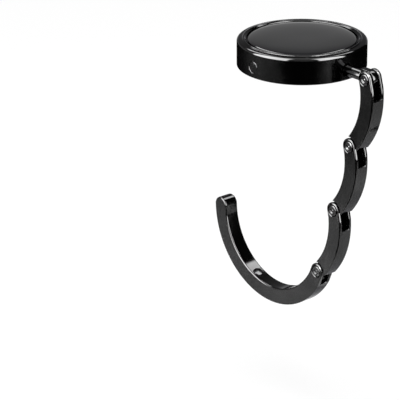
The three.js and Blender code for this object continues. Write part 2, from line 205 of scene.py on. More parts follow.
def turned(name: str, profile: np.ndarray, axis: Axis, sides: int) -> Piece:
    """A profile carried round an axis: (r, h) at angle a gives (r cos a, r sin a, h), then laid on the axis.

    Args:
        name: The object's name.
        profile: Array (n, 2) of radius and height, from one end on the axis to the other.
        axis: The axis that the heights run along.
        sides: Facets round the axis.

    Returns:
        The closed turned object.
    """
    angle = np.linspace(0.0, 2.0 * math.pi, sides, endpoint=False)
    radius, height = profile[:, :1], profile[:, 1:]
    grid = np.stack([radius * np.cos(angle), radius * np.sin(angle), height + 0.0 * angle], axis=-1)
    grid = grid[..., list(axis.value)]
    return mesh_object(name, grid.reshape(-1, 3), grid_faces(len(profile), sides))


def cylinder(radius: float, low: float, high: float) -> np.ndarray:
    """Profile of a plain cylinder between two heights, to be turned."""
    return np.array([[0, low], [radius, low], [radius, high], [0, high]])


def arc(centre: Sequence[float], radius: float, start: float, end: float, steps: int) -> np.ndarray:
    """Points of an arc: centre + radius (cos a, sin a), for a from start to end.

    Args:
        centre: The arc's centre, two numbers.
        radius: Its radius.
        start: First angle in radians.
        end: Last angle in radians.
        steps: Number of points.

    Returns:
        Array of shape (steps, 2).
    """
    angle = np.linspace(start, end, steps)
    return np.stack([centre[0] + radius * np.cos(angle), centre[1] + radius * np.sin(angle)], axis=-1)


def rounded_plate(name: str, outline: np.ndarray, thickness: float, edge: float, steps: int) -> Piece:
    """A plate in the XZ plane whose edge profile, a quarter round at each face, is carried along its outline.

    Each outline point p with outward normal n gives p - n edge (1 - cos b) at depth h - edge (1 - sin b),
    for b from a right angle at the face to zero at the side, and the same in mirror image.

    Args:
        name: The object's name.
        outline: Array (n, 2) of x and z, counter-clockwise, not closed.
        thickness: Along Y, centred on the plane.
        edge: Radius of the rounded edges.
        steps: Points on each quarter round.

    Returns:
        The closed plate.
    """
    ahead = np.roll(outline, -1, axis=0) - outline
    normal = np.stack([ahead[:, 1], -ahead[:, 0]], axis=-1)
    normal /= np.linalg.norm(normal, axis=1, keepdims=True)
    normal = normal + np.roll(normal, 1, axis=0)
    normal /= np.linalg.norm(normal, axis=1, keepdims=True)
    bend = np.linspace(QUARTER, 0.0, steps)
    inset = edge * (1.0 - np.cos(bend))
    depth = thickness / 2 - edge * (1.0 - np.sin(bend))
    inset = np.concatenate([inset, inset[::-1]])
    depth = np.concatenate([-depth, depth[::-1]])
    flat = outline[None] - normal[None] * inset[:, None, None]
    grid = np.stack([flat[..., 0], np.broadcast_to(depth[:, None], flat.shape[:2]), flat[..., 1]], axis=-1)
    count = len(outline)
    last = (len(inset) - 1) * count
    faces = grid_faces(len(inset), count) + [list(range(count)), list(range(last, last + count))]
    return mesh_object(name, grid.reshape(-1, 3), faces)


def rectangle(left: float, right: float, low: float, high: float) -> np.ndarray:
    """Corners of a rectangle, counter-clockwise, as an array (4, 2)."""
    return np.array([[left, low], [right, low], [right, high], [left, high]])


def rotated(points: np.ndarray, angle: float) -> np.ndarray:
    """Turns plane points about the origin, from x towards z: (x cos a - z sin a, x sin a + z cos a)."""
    turn = np.array([[math.cos(angle), math.sin(angle)], [-math.sin(angle), math.cos(angle)]])
    return points @ turn


def eye_outline(radius: float, root: float, steps: int) -> np.ndarray:
    """Outline of a flat eye: a half round below the pin, and straight sides up to its root.

    Args:
        radius: The half round's radius.
        root: Height at which the eye ends.
        steps: Points on the half round.

    Returns:
        Array of shape (steps + 2, 2), counter-clockwise.
    """
    half_round = arc((0, 0), radius, math.pi, 2 * math.pi, steps)
    return np.concatenate([[[-radius, root]], half_round, [[radius, root]]])


def move_mesh(thing: Piece, matrix: Matrix) -> Piece:
    """Moves an object's mesh, not the object, by a matrix."""
    thing.data.transform(matrix)
    return thing


def settle(thing: Piece) -> None:
    """Applies an object's modifiers to its mesh.

    Args:
        thing: The object.
    """
    bpy.context.view_layer.update()
    shown = thing.evaluated_get(bpy.context.evaluated_depsgraph_get())
    mesh = bpy.data.meshes.new_from_object(shown)
    thing.modifiers.clear()
    old = thing.data
    thing.data = mesh
    bpy.data.meshes.remove(old)


def carve(thing: Piece, tool: Piece, how: Cut) -> None:
    """Cuts a solid with a tool, or joins the tool to it, and removes the tool.

    Args:
        thing: The solid that stays.
        tool: The solid that acts on it.
        how: Whether it is taken away or joined.
    """
    change = thing.modifiers.new("carve", "BOOLEAN")
    change.operation = how.value
    change.solver = "EXACT"
    change.object = tool
    settle(thing)
    bpy.data.objects.remove(tool)


def drill(thing: Piece, profile: np.ndarray, axis: Axis, sides: int, place: Optional[Matrix] = None) -> None:
    """Takes a turned shape out of a solid.

    Args:
        thing: The solid.
        profile: The shape's profile, as turned takes it.
        axis: The axis that it is turned about.
        sides: Facets round it.
        place: Where it goes from there.
    """
    carve(thing, move_mesh(turned("drill", profile, axis, sides), place or Matrix.Identity(4)), Cut.TAKE)


def ease_edges(thing: Piece, width: float, angle: float = ROUNDED_FROM) -> None:
    """Rounds the sharp edges that the cuts left, with two facets across each.

    Args:
        thing: The object.
        width: Width of the rounding.
        angle: Edges sharper than this are rounded, in degrees.
    """
    bevel = thing.modifiers.new("ease", "BEVEL")
    bevel.width = width
    bevel.segments = 2
    bevel.limit_method = "ANGLE"
    bevel.angle_limit = math.radians(angle)
    bevel.use_clamp_overlap = False
    bevel.miter_outer = "MITER_ARC"
    settle(thing)


def finish_piece(
    thing: Piece, body: str, node: str, material: Material, place: Optional[Matrix] = None
) -> None:
    """Brings a piece to metres and its place, smooths it, dresses it and joins it to the frame.

    Args:
        thing: The piece, in millimetres in its own frame.
        body: The CAD body that it rides on.
        node: The CAD node that it stands for.
        material: Its finish.
        place: From its own frame to the row frame, in millimetres.
    """
    move_mesh(thing, Matrix.Scale(MM, 4) @ (place or Matrix.Identity(4)))
    thing.data.shade_smooth()
    thing.data.set_sharp_from_angle(angle=math.radians(SHARP_FROM))
    weigh = thing.modifiers.new("weigh", "WEIGHTED_NORMAL")
    weigh.keep_sharp = True
    weigh.weight = 100
    thing.data.materials.clear()
    thing.data.materials.append(material)
    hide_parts(node)
    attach(thing, body)
    log.info("%s: %d faces, rides on %s", thing.name, len(thing.data.polygons), body)


# Finishes

@dataclass(frozen=True)
class Pattern:
    """A noise pattern: waves per metre, finer octaves, and extra scale along each axis."""

    scale: float
    detail: float
    stretch: tuple = (1.0, 1.0, 1.0)


@dataclass(frozen=True)
class Relief:
    """A bump on a surface: its depth in metres and its share."""

    depth: float
    share: float


# The span that a noise pattern's values mostly lie in, and the span of a share
NOISE_SPAN = (0.3, 0.7)
UNIT_SPAN = (0.0, 1.0)


class Wiring:
    """A node tree, with short calls that add nodes and link them."""

    def __init__(self, tree: bpy.types.NodeTree) -> None:
        """Starts with a tree as it is."""
        self.tree = tree

    def feed(self, socket: Socket, value: Feed) -> None:
        """Links an output to an input, or sets the input to a value.

        Args:
            socket: The input.
            value: An output of another node, or the value.
        """
        if isinstance(value, Socket):
            self.tree.links.new(value, socket)
        else:
            socket.default_value = value

    def fill(self, node: bpy.types.Node, values: dict) -> None:
        """Feeds a node's inputs by name, with underscores for spaces."""
        for name, value in values.items():
            self.feed(node.inputs[name.replace("_", " ")], value)

    def add(self, kind: str, *feeds: Feed, **named: Feed) -> bpy.types.Node:
        """Adds a node and feeds it.

        Args:
            kind: The node's type, without the words that all of them start with.
            feeds: What its first inputs get, in order.
            named: What its other inputs get, by name.

        Returns:
            The node.
        """
        node = self.tree.nodes.new(f"ShaderNode{kind}")
        for socket, value in zip(node.inputs, feeds):
            self.feed(socket, value)
        self.fill(node, named)
        return node

    def combine(self, first: Socket, second: Socket, how: Pair) -> Socket:
        """Makes one value of two.

        Args:
            first: One value.
            second: The other.
            how: Their product or the larger one.

        Returns:
            The new value.
        """
        node = self.add("Math", first, second)
        node.operation = how.value
        return node.outputs[0]

    def remap(
        self, value: Socket, span: Sequence[float], to: Sequence[float] = UNIT_SPAN, fade: Fade = Fade.STRAIGHT
    ) -> Socket:
        """Maps one span of values onto another, clamped.

        Args:
            value: What is mapped.
            span: Its lowest and highest value.
            to: What these become.
            fade: How it goes from one to the other.

        Returns:
            The mapped value.
        """
        node = self.add("MapRange", value, From_Min=span[0], From_Max=span[1], To_Min=to[0], To_Max=to[1])
        node.interpolation_type = fade.value
        return node.outputs["Result"]

    def blend(self, factor: Socket, first: Feed, second: Feed) -> Socket:
        """Mixes two colours by a factor.

        Args:
            factor: The second colour's share.
            first: A colour or an output.
            second: The other colour.

        Returns:
            The mixed colour.
        """
        node = self.add("Mix")
        node.data_type = "RGBA"
        self.fill(node, {"Factor": factor, "A": first, "B": second})
        return node.outputs["Result"]

    def ramp(self, value: Socket, stops: Sequence[tuple], fade: Fade) -> Socket:
        """Reads a ramp of greys.

        Args:
            value: Where it is read.
            stops: Place and grey of each stop.
            fade: How it goes from one to the next.

        Returns:
            The grey.
        """
        node = self.add("ValToRGB", value)
        node.color_ramp.interpolation = fade.value
        elements = node.color_ramp.elements
        while len(elements) < len(stops):
            elements.new(0.5)
        for stop, (position, grey) in zip(elements, stops):
            stop.position = position
            stop.color = (grey, grey, grey, 1.0)
        return node.outputs[0]


class Sketch(Wiring):
    """A new material that holds its output, and reads patterns on Object coordinates."""

    def __init__(self, name: str) -> None:
        """Starts the material.

        Args:
            name: The material's name.
        """
        self.material = bpy.data.materials.new(name)
        self.material.use_nodes = True
        super().__init__(self.material.node_tree)
        self.tree.nodes.clear()
        self.output = self.add("OutputMaterial").inputs["Surface"]
        self.place = self.add("TexCoord").outputs["Object"]

    def noise(self, pattern: Pattern) -> Socket:
        """Adds a noise pattern.

        Args:
            pattern: Its scale, detail and stretch.

        Returns:
            The noise value.
        """
        spread = self.add("Mapping", self.place, Scale=pattern.stretch).outputs[0]
        texture = self.add("TexNoise", spread, Scale=pattern.scale, Detail=pattern.detail)
        return texture.outputs["Fac"]


class Coat(Sketch):
    """A material with one Principled shader."""

    def __init__(self, name: str, **values: Feed) -> None:
        """Starts the material.

        Args:
            name: The material's name.
            values: What the shader's own inputs get, with underscores for spaces.
        """
        super().__init__(name)
        self.shader = self.add("BsdfPrincipled", **values)
        self.feed(self.output, self.shader.outputs[0])

    def dress(self, **values: Feed) -> None:
        """Feeds the shader's own inputs, named with underscores for spaces."""
        self.fill(self.shader, values)

    def bump(self, height: Socket, relief: Relief) -> None:
        """Adds a bump on top of the ones before it.

        Args:
            height: The height pattern.
            relief: Its depth and share.
        """
        node = self.add("Bump", Distance=relief.depth, Strength=relief.share, Height=height)
        earlier = self.shader.inputs["Normal"]
        if earlier.is_linked:
            self.feed(node.inputs["Normal"], earlier.links[0].from_socket)
        self.feed(earlier, node.outputs[0])


def rgba(colour: Sequence[float]) -> tuple:
    """A colour with full cover."""
    return (*colour, 1.0)


@dataclass(frozen=True)
class PlatedMetal:
    """Bright plate on die-cast zinc: a faint orange-peel, uneven tone, and paler edges, partly plating wear
    and partly a painted edge highlight.
    """

    name: str
    dark: tuple
    light: tuple
    # Paler colour at sharp edges: partly plating wear, partly a painted edge highlight
    wear_and_edge_highlight: tuple
    roughness: tuple
    facing_tint: tuple = (0.55, 0.55, 0.56)
    tone: Pattern = Pattern(140.0, 4.0)
    tone_span: tuple = (0.35, 0.65)
    # Pointiness span over which edges turn paler: partly plating wear, partly a painted edge highlight
    wear_and_highlight_span: tuple = (0.53, 0.62)
    smears: Pattern = Pattern(420.0, 5.0, (1.0, 1.0, 0.35))
    peel: Pattern = Pattern(700.0, 2.0)
    peel_relief: Relief = Relief(0.00002, 0.12)
    polish: Pattern = Pattern(4200.0, 3.0, (1.0, 1.0, 0.2))
    polish_relief: Relief = Relief(0.000003, 0.1)

    def material(self) -> Material:
        """Builds the material, with the plate's tone, smears and relief from noise.

        Returns:
            The material.
        """
        coat = Coat(self.name, Metallic=1.0, Specular_Tint=rgba(self.facing_tint))
        tone = coat.remap(coat.noise(self.tone), self.tone_span)
        base = coat.blend(tone, rgba(self.dark), rgba(self.light))
        # Pointiness pales the edges: partly plating wear, partly a painted edge highlight
        wear_and_highlight_share = coat.remap(coat.add("NewGeometry").outputs["Pointiness"], self.wear_and_highlight_span)
        smears = coat.remap(coat.noise(self.smears), NOISE_SPAN, self.roughness)
        coat.dress(Base_Color=coat.blend(wear_and_highlight_share, base, rgba(self.wear_and_edge_highlight)), Roughness=smears)
        coat.bump(coat.noise(self.peel), self.peel_relief)
        coat.bump(coat.noise(self.polish), self.polish_relief)
        return coat.material


@dataclass(frozen=True)
class GlossResin:
    """Poured gloss black resin: nearly optical, with slow waves and fine hairline scratches."""

    name: str
    colour: tuple
    tint: tuple
    roughness: tuple
    ior: float = 1.42
    depth: Pattern = Pattern(90.0, 2.0)
    hairlines: Pattern = Pattern(900.0, 6.0, (1.0, 0.06, 1.0))
    hairline_span: tuple = (0.45, 0.8)
    waves: Pattern = Pattern(110.0, 1.0)
    wave_relief: Relief = Relief(0.00002, 0.08)

    def material(self) -> Material:
        """Builds the material, with its depth, hairlines and waves from noise.

        Returns:
            The material.
        """
        coat = Coat(self.name, IOR=self.ior)
        depth = coat.remap(coat.noise(self.depth), NOISE_SPAN)
        hairlines = coat.remap(coat.noise(self.hairlines), self.hairline_span, self.roughness)
        coat.dress(Base_Color=coat.blend(depth, rgba(self.colour), rgba(self.tint)), Roughness=hairlines)
        coat.bump(coat.noise(self.waves), self.wave_relief)
        return coat.material


@dataclass(frozen=True)
class GroundSteel:
    """Dark plated steel or a magnet's face, with a fine ground grain."""

    name: str
    dark: tuple
    light: tuple
    roughness: tuple
    relief: Relief
    grain: Pattern = Pattern(1600.0, 6.0, (1.0, 1.0, 4.0))

    def material(self) -> Material:
        """Builds the material, in which one grain gives tone, roughness and relief.

        Returns:
            The material.
        """
        coat = Coat(self.name, Metallic=1.0)
        grain = coat.noise(self.grain)
        tone = coat.blend(coat.remap(grain, NOISE_SPAN), rgba(self.dark), rgba(self.light))
        coat.dress(Base_Color=tone, Roughness=coat.remap(grain, NOISE_SPAN, self.roughness))
        coat.bump(grain, self.relief)
        return coat.material


@dataclass(frozen=True)
class MouldedRubber:
    """Matt rubber, nylon or tape with a fine moulded texture and dusty high spots."""

    name: str
    colour: tuple
    dusty: tuple
    roughness: tuple
    grain: Pattern
    dust: Pattern = Pattern(160.0, 4.0)
    dust_span: tuple = (0.45, 0.75)
    relief: Relief = Relief(0.00006, 0.4)

    def material(self) -> Material:
        """Builds the material, with the mould's grain and the dust from noise.

        Returns:
            The material.
        """
        coat = Coat(self.name)
        grain = coat.noise(self.grain)
        dust = coat.remap(coat.noise(self.dust), self.dust_span)
        tone = coat.blend(dust, rgba(self.colour), rgba(self.dusty))
        coat.dress(Base_Color=tone, Roughness=coat.remap(grain, NOISE_SPAN, self.roughness))
        coat.bump(grain, self.relief)
        return coat.material


# The third colour of each plated metal is its edge colour: partly plating wear, partly a painted edge
# highlight
FINISHES = {
    "nickel": PlatedMetal(
        "black_nickel", (0.046, 0.046, 0.046), (0.06, 0.06, 0.06), (0.15, 0.15, 0.15), (0.05, 0.11)),
    "rivet": PlatedMetal(
        "rivet_nickel", (0.06, 0.06, 0.06), (0.085, 0.085, 0.085), (0.2, 0.2, 0.2), (0.1, 0.18)),
    "resin": GlossResin("dome_resin", (0.004, 0.004, 0.0045), (0.007, 0.007, 0.008), (0.02, 0.07)),
    "steel": GroundSteel(
        "dark_steel", (0.1, 0.1, 0.105), (0.2, 0.2, 0.205), (0.25, 0.4), Relief(0.00001, 0.2)),
    "magnet": GroundSteel(
        "magnet_face", (0.045, 0.045, 0.046), (0.075, 0.075, 0.076), (0.07, 0.13), Relief(0.00001, 0.05)),
    "rubber": MouldedRubber(
        "pad_rubber", (0.012, 0.012, 0.012), (0.05, 0.05, 0.048), (0.6, 0.9), Pattern(2600.0, 5.0)),
    "nylon": MouldedRubber(
        "slider_nylon", (0.02, 0.02, 0.021), (0.05, 0.05, 0.052), (0.4, 0.6), Pattern(1800.0, 5.0)),
    "tape": MouldedRubber(
        "foam_tape", (0.03, 0.03, 0.029), (0.07, 0.07, 0.066), (0.7, 0.95), Pattern(3400.0, 5.0)),
}


# The object

@dataclass
class Disc:
    """The weighted disc: housing, dome, base plate, pad and the rim's magnets."""

    rim_width: float = 2.4
    rim_round: float = 0.75
    rim_turn: float = math.radians(84)
    shelf_fall: float = 0.08
    shelf_drop: float = 0.22
    bead: float = 0.35
    bead_inset: float = 1.75
    bead_turn: float = math.radians(145)
    recess_lip: float = 0.34
    foot_round: float = 0.2
    wall: float = 5.0
    wall_rows: int = 30
    top_plate: float = 0.5
    plate_gap: float = 0.3
    plate_edge: float = 0.1
    pad_edge: float = 0.25
    tape_edge: float = 0.04
    dome_recess: float = 0.9
    dome_edge: float = 0.3
    dome_power: float = 3.2
    dome_rows: int = 48
    magnet_gap: float = 0.1
    magnet_edge: float = 0.12
    rod_gap: float = 0.1
    bore_depth: float = 6.0
    bore_flare: float = 0.25
    bore_sink: float = 0.05
    eased: float = 0.1
    eased_from: float = 50.0

    def __post_init__(self) -> None:
        """Reads the disc's own sizes from the CAD frame."""
        low, high = box_mm("housing")
        self.radius, self.foot, self.top = float(high[0]), float(low[2]), float(high[2])
        low, high = box_mm("rim_magnet_back")
        self.magnet_radius, self.magnet_reach = float(high[0]), (float(low[1]), float(high[1]))
        self.magnet_place = Matrix.Translation((0, 0, float(low[2] + high[2]) / 2))

    def rim_profile(self) -> np.ndarray:
        """Profile of the housing: hollow, foot, side, the rim's round, its bead and the dome's recess.

        Returns:
            Array of radius and height, from the hollow's ceiling to the recess's floor.
        """
        plate = box_mm("base_plate")[1]
        ledge_height, ledge = float(plate[2]), float(plate[0]) + self.plate_gap
        hollow, recess = self.radius - self.wall, self.radius - self.rim_width
        floor = self.top - self.dome_recess
        ceiling = floor - self.top_plate
        foot_height = self.foot + self.foot_round
        round_height = self.top - self.shelf_drop - self.shelf_fall - self.rim_round
        rows = np.linspace(foot_height, round_height, self.wall_rows)[1:-1]
        bead_centre = (self.radius - self.bead_inset, self.top - self.bead)
        bead_start = math.asin(1 - self.shelf_drop / self.bead)
        return np.concatenate([
            [[0, ceiling], [hollow, ceiling], [hollow, ledge_height]],
            [[ledge, ledge_height], [ledge, self.foot]],
            arc((self.radius - self.foot_round, foot_height), self.foot_round, -QUARTER, 0, steps=6),
            np.stack([np.full_like(rows, self.radius), rows], axis=-1),
            arc((self.radius - self.rim_round, round_height), self.rim_round, 0, self.rim_turn, steps=12),
            arc(bead_centre, self.bead, bead_start, self.bead_turn, steps=16),
            [[recess, self.top - self.recess_lip], [recess, floor], [0, floor]],
        ])

    def housing(self) -> Piece:
        """The housing, turned as one profile, with the rod's flared bore and the magnets' pockets.

        Returns:
            The closed shell.
        """
        shell = turned("housing_shell", self.rim_profile(), Axis.Z, Sides.RIM)
        bore = ROD_RADIUS + self.rod_gap
        mouth = self.radius + BEYOND - self.bore_sink
        flared_bore = np.array([
            [0, self.radius - self.bore_depth],
            [bore, self.radius - self.bore_depth],
            [bore, self.radius - self.bore_flare - self.bore_sink],
            [bore + self.bore_flare + BEYOND, mouth],
            [0, mouth],
        ])
        rod_place = Matrix.Translation((0, 0, joint_mm("rod_swivel")[2]))
        drill(shell, flared_bore, Axis.X, Sides.SMALL, rod_place)
        pocket = cylinder(
            self.magnet_radius + self.magnet_gap, self.magnet_reach[0] - self.magnet_gap, self.radius + BEYOND)
        for side in (-1, 1):
            drill(shell, pocket * (1, side), Axis.Y, Sides.SMALL, self.magnet_place)
        ease_edges(shell, self.eased, self.eased_from)
        return shell

    def dome(self) -> Piece:
        """The resin insert: height is edge + crown sqrt(1 - (r / R)^power), over a short upright side.

        Returns:
            The closed dome.
        """
        low, high = box_mm("dome_insert")
        radius = float(high[0])
        share = np.cos(np.linspace(0.0, QUARTER, self.dome_rows))
        crown = float(high[2] - low[2]) - self.dome_edge
        height = low[2] + self.dome_edge + crown * np.sqrt(1.0 - share ** self.dome_power)
        rise = np.stack([radius * share, height], axis=-1)
        profile = np.concatenate([[[0, low[2]], [radius, low[2]]], rise])
        return turned("dome_lens", profile, Axis.Z, Sides.DOME)

    def plain_disc(self, name: str, node: str, edge: float) -> Piece:
        """A flat round plate with rounded edges, as large as its CAD node.

        Args:
            name: The piece's name.
            node: The CAD node.
            edge: Radius of the edges.

        Returns:
            The closed plate.
        """
        low, high = box_mm(node)
        radius = float(high[0])
        profile = np.concatenate([
            [[0, low[2]]],
            arc((radius - edge, low[2] + edge), edge, -QUARTER, 0, steps=5),
            arc((radius - edge, high[2] - edge), edge, 0, QUARTER, steps=5),
            [[0, high[2]]],
        ])
        return turned(name, profile, Axis.Z, Sides.PLATE)

    def magnet(self, name: str, side: int) -> Piece:
        """A magnet plug in the rim, with a rounded edge and a flat face.

        Args:
            name: The piece's name.
            side: -1 for the front, 1 for the back.

        Returns:
            The closed plug.
        """
        inner, outer = self.magnet_reach
        edge = self.magnet_edge
        profile = np.concatenate([
            [[0, inner], [self.magnet_radius, inner]],
            arc((self.magnet_radius - edge, outer - edge), edge, 0, QUARTER, steps=6),
            [[0, outer]],
        ])
        return move_mesh(turned(name, profile * (1, side), Axis.Y, Sides.SMALL), self.magnet_place)

    def build(self, finishes: dict) -> None:
        """Makes and dresses all pieces of the disc.

        Args:
            finishes: Material by name.
        """
        finish_piece(self.housing(), "disc", "housing", finishes["nickel"])
        finish_piece(self.dome(), "disc", "dome_insert", finishes["resin"])
        for name, node, edge, slot, finish in (
            ("base_disc", "base_plate", self.plate_edge, "plated_steel", "steel"),
            ("rubber_pad", "anti_slip_pad", self.pad_edge, "rubber_pad", "rubber"),
            ("dome_tape", "dome_adhesive", self.tape_edge, "adhesive_tape", "tape"),
            ("pad_tape", "pad_adhesive", self.tape_edge, "adhesive_tape", "tape"),
        ):
            finish_piece(self.plain_disc(name, node, edge), "disc", node, finishes[finish])
        for name, side in (("front", -1), ("back", 1)):
            magnet = self.magnet(f"{name}_magnet", side)
            finish_piece(magnet, "disc", f"rim_magnet_{name}", finishes["magnet"])


@dataclass
class Chain:
    """The hinged links: each a clevis at its first pin and a tongue at the next, and the hook arm last.

    A link's own frame has its first pin at the origin, along Y, with the folded ring's middle towards -X. Ring
    angles start at that pin and run towards the link's far end.
    """

    outer: float = 22.5
    band: float = 4.5
    pin_ring: float = 20.1
    thickness: float = 4.3
    edge: float = 0.4
    arc_degrees: float = 1.5
    pitch: float = math.radians(60)
    sweep: float = math.radians(163)
    ear: float = 2.2
    slot: float = 2.3
    mouth_round: float = 0.26
    mouth_facets: int = 5
    floor: float = 5.7
    hook_floor: float = 3.3
    tongue: float = 1.8
    tongue_eye: float = 1.9
    tongue_root: float = 3.6
    tongue_edge: float = 0.08
    scallop: float = 2.65
    flare: float = 0.3
    flat_outer: float = 2.1
    flat_inner: float = 1.75
    web_start: float = 2.4
    web_face: float = 1.15
    heel_width: float = 0.65
    heel_bite: float = 0.35
    heel_slack: float = 0.16
    heel_edge: float = 0.06
    stop_gap: float = 0.3
    pin: float = 0.8
    pin_gap: float = 0.1
    head: float = 1.45
    head_gap: float = 0.15
    head_depth: float = 0.45
    head_proud: float = 0.08
    head_edge: float = 0.26
    seat_sink: float = 0.05
    seat_flare: float = 0.18
    seat_drop: float = 0.12
    bowl: float = 0.8
    bowl_lip: float = 0.1
    bowl_turn: float = math.pi * 0.9
    bowl_depth: float = 0.2
    bowl_rise: float = 0.8
    bowl_power: int = 12
    bowl_rows: int = 26
    bowl_crowding: float = 1.5
    pip: float = 0.42
    pip_height: float = 0.07
    magnet: float = 1.2
    magnet_edge: float = 0.15
    magnet_sink: float = 0.1
    magnet_length: float = 1.4
    magnet_gap: float = 0.1
    eased: float = 0.1

    def __post_init__(self) -> None:
        """Works out each link's place from the joints' pins and ranges."""
        self.inner = self.outer - self.band
        hinges = [f"hinge_{number}" for number in range(1, 5)]
        self.openings = [math.radians(-JOINTS[name]["range_deg"][0]) for name in hinges]
        lean = 0.0
        self.places = []
        for index, name in enumerate(hinges):
            lean += (self.pitch if index else 0.0) - self.openings[index]
            self.places.append(Matrix.Translation(Vector(joint_mm(name))) @ Matrix.Rotation(lean, 4, "Y"))
        end_pin = (self.pin_ring * (math.cos(self.pitch) - 1), 0, -self.pin_ring * math.sin(self.pitch))
        self.far_place = Matrix.Translation(end_pin) @ Matrix.Rotation(self.pitch, 4, "Y")

    def blank(self, name: str, end: float, tip: Sequence) -> Piece:
        """A link's blank: the round ear, the inner arc, the end, and the outer arc, as one rounded plate.

        Args:
            name: The piece's name.
            end: Ring angle where the band ends.
            tip: Arrays of points between the inner and the outer arc, or none.

        Returns:
            The closed blank.
        """
        centre = (-self.pin_ring, 0.0)
        outer_start = -math.acos((self.pin_ring + self.ear) / self.outer)
        inner_start = -math.acos((self.pin_ring - self.ear) / self.inner)
        steps = int(math.degrees(end) / self.arc_degrees)
        outline = np.concatenate([
            arc((0.0, 0.0), self.ear, 0.0, math.pi, steps=40),
            arc(centre, self.inner, inner_start, -end, steps),
            *tip,
            arc(centre, self.outer, -end, outer_start, steps),
        ])
        return rounded_plate(name, outline, self.thickness, self.edge, steps=5)

    def ring_place(self, angle: float) -> Matrix:
        """From the ring centre's frame, with X towards the given ring angle, to the link's frame."""
        return Matrix.Translation((-self.pin_ring, 0, 0)) @ Matrix.Rotation(angle, 4, "Y")

    def add_heel(self, tongue: Piece, opening: float) -> None:
        """Joins the stop heel to a tongue, turned back by the angle that its hinge opens, and drills the eye.

        Args:
            tongue: The tongue, with its eye at the origin.
            opening: How far the hinge opens.
        """
        left = self.stop_gap - self.web_face
        upright = rectangle(left, left + self.heel_width, -(self.web_start + self.heel_bite), 0)
        thickness = self.tongue - self.heel_slack
        heel = rounded_plate("heel", rotated(upright, opening), thickness, self.heel_edge, steps=3)
        carve(tongue, heel, Cut.JOIN)
        drill(tongue, cylinder(self.pin + self.pin_gap, -self.tongue, self.tongue), Axis.Y, Sides.PIN)

    def cut_clevis(self, link: Piece, floor: float, stop_turn: float) -> None:
        """Cuts the slot, the pin's hole and the seats of its heads.

        Args:
            link: The blank that is cut.
            floor: Depth of the slot.
            stop_turn: How far the web's stop face is turned.
        """
        reach = self.ear + BEYOND

        def along_stop(depth: float) -> list:
            """The stop face's point at a depth."""
            run = (depth - self.web_face * math.sin(stop_turn)) / math.cos(stop_turn)
            return [run * math.sin(stop_turn) - self.web_face * math.cos(stop_turn), -depth]

        outline = np.array([
            [reach, reach], [-reach, reach], [-reach, -self.web_start],
            along_stop(self.web_start), along_stop(floor), [reach, -floor],
        ])
        carve(link, rounded_plate("slot_tool", outline, self.slot, edge=0.0, steps=2), Cut.TAKE)
        self.round_mouth(link)
        half = self.thickness / 2
        drill(link, cylinder(self.pin + self.pin_gap, -half - BEYOND, half + BEYOND), Axis.Y, Sides.PIN)
        bottom, seat = half - self.head_depth - self.seat_sink, self.head + self.head_gap
        profile = np.array([
            [0, bottom], [seat, bottom], [seat, half - self.seat_drop],
            [seat + 2 * self.seat_flare, half + self.seat_drop], [0, half + self.seat_drop],
        ])
        for side in (-1, 1):
            drill(link, profile * (1, side), Axis.Y, Sides.PIN)

    def round_mouth(self, link: Piece) -> None:
        """Rounds the outward edges of the slot, all of whose points lie in the planes of its side walls.

        Args:
            link: The blank, straight after the slot is cut.
        """
        work = bmesh.new()
        work.from_mesh(link.data)
        edges = [
            edge for edge in work.edges
            if all(abs(abs(point.co.y) - self.slot / 2) < IN_PLANE for point in edge.verts)
            and edge.calc_face_angle_signed(0.0) > math.radians(ROUNDED_FROM)
        ]
        bmesh.ops.bevel(
            work, geom=edges, offset=self.mouth_round, segments=self.mouth_facets, profile=0.5, affect="EDGES")
        work.to_mesh(link.data)
        work.free()

    def cut_far_end(self, link: Piece) -> None:
        """Scallops a link's end round the next ear, flares the scallop and flattens what would strike it.

        Args:
            link: The blank.
        """
        half, reach = self.thickness / 2, self.ear + BEYOND
        wide = self.scallop + 2 * self.flare
        profile = np.array([
            [0, -half - self.flare], [wide, -half - self.flare], [self.scallop, self.flare - half],
            [self.scallop, half - self.flare], [wide, half + self.flare], [0, half + self.flare],
        ])
        drill(link, profile, Axis.Y, Sides.SHAFT, self.far_place)
        for outline in (
            rectangle(0, reach, -reach, self.flat_outer),
            rectangle(-reach, 0, -reach, self.flat_inner),
        ):
            tool = rounded_plate("flat_tool", outline, self.thickness + BEYOND, TOOL_EDGE, steps=2)
            carve(link, move_mesh(tool, self.far_place), Cut.TAKE)

    def add_tongue(self, link: Piece, opening: float) -> None:
        """Joins the tongue with its eye and heel to a link's far end.

        Args:
            link: The link.
            opening: How far the next hinge opens.
        """
        outline = eye_outline(self.tongue_eye, self.tongue_root, steps=36)
        tongue = rounded_plate("tongue", outline, self.tongue, self.tongue_edge, steps=3)
        self.add_heel(tongue, opening)
        carve(link, move_mesh(tongue, self.far_place), Cut.JOIN)

    def cut_magnet_pocket(self, link: Piece, angle: float) -> None:
        """Cuts the pocket of a magnet into the band's inner face.

        Args:
            link: The link.
            angle: Ring angle of the magnet.
        """
        bottom = self.inner + self.magnet_sink + self.magnet_length + self.magnet_gap
        pocket = cylinder(self.magnet + self.magnet_gap, self.inner - BEYOND, bottom)
        drill(link, pocket, Axis.X, Sides.PLUG, self.ring_place(angle))

    def link(self, name: str, opening: float, with_magnet: bool) -> Piece:
        """One of the three links.

        Args:
            name: The piece's name.
            opening: How far the hinge at its far end opens.
            with_magnet: Whether it holds a magnet.

        Returns:
            The closed link.
        """
        link = self.blank(name, self.pitch, ())
        self.cut_far_end(link)
        self.cut_clevis(link, self.floor, 0.0)
        if with_magnet:
            self.cut_magnet_pocket(link, self.pitch / 2)
        self.add_tongue(link, opening)
        ease_edges(link, self.eased)
        return link

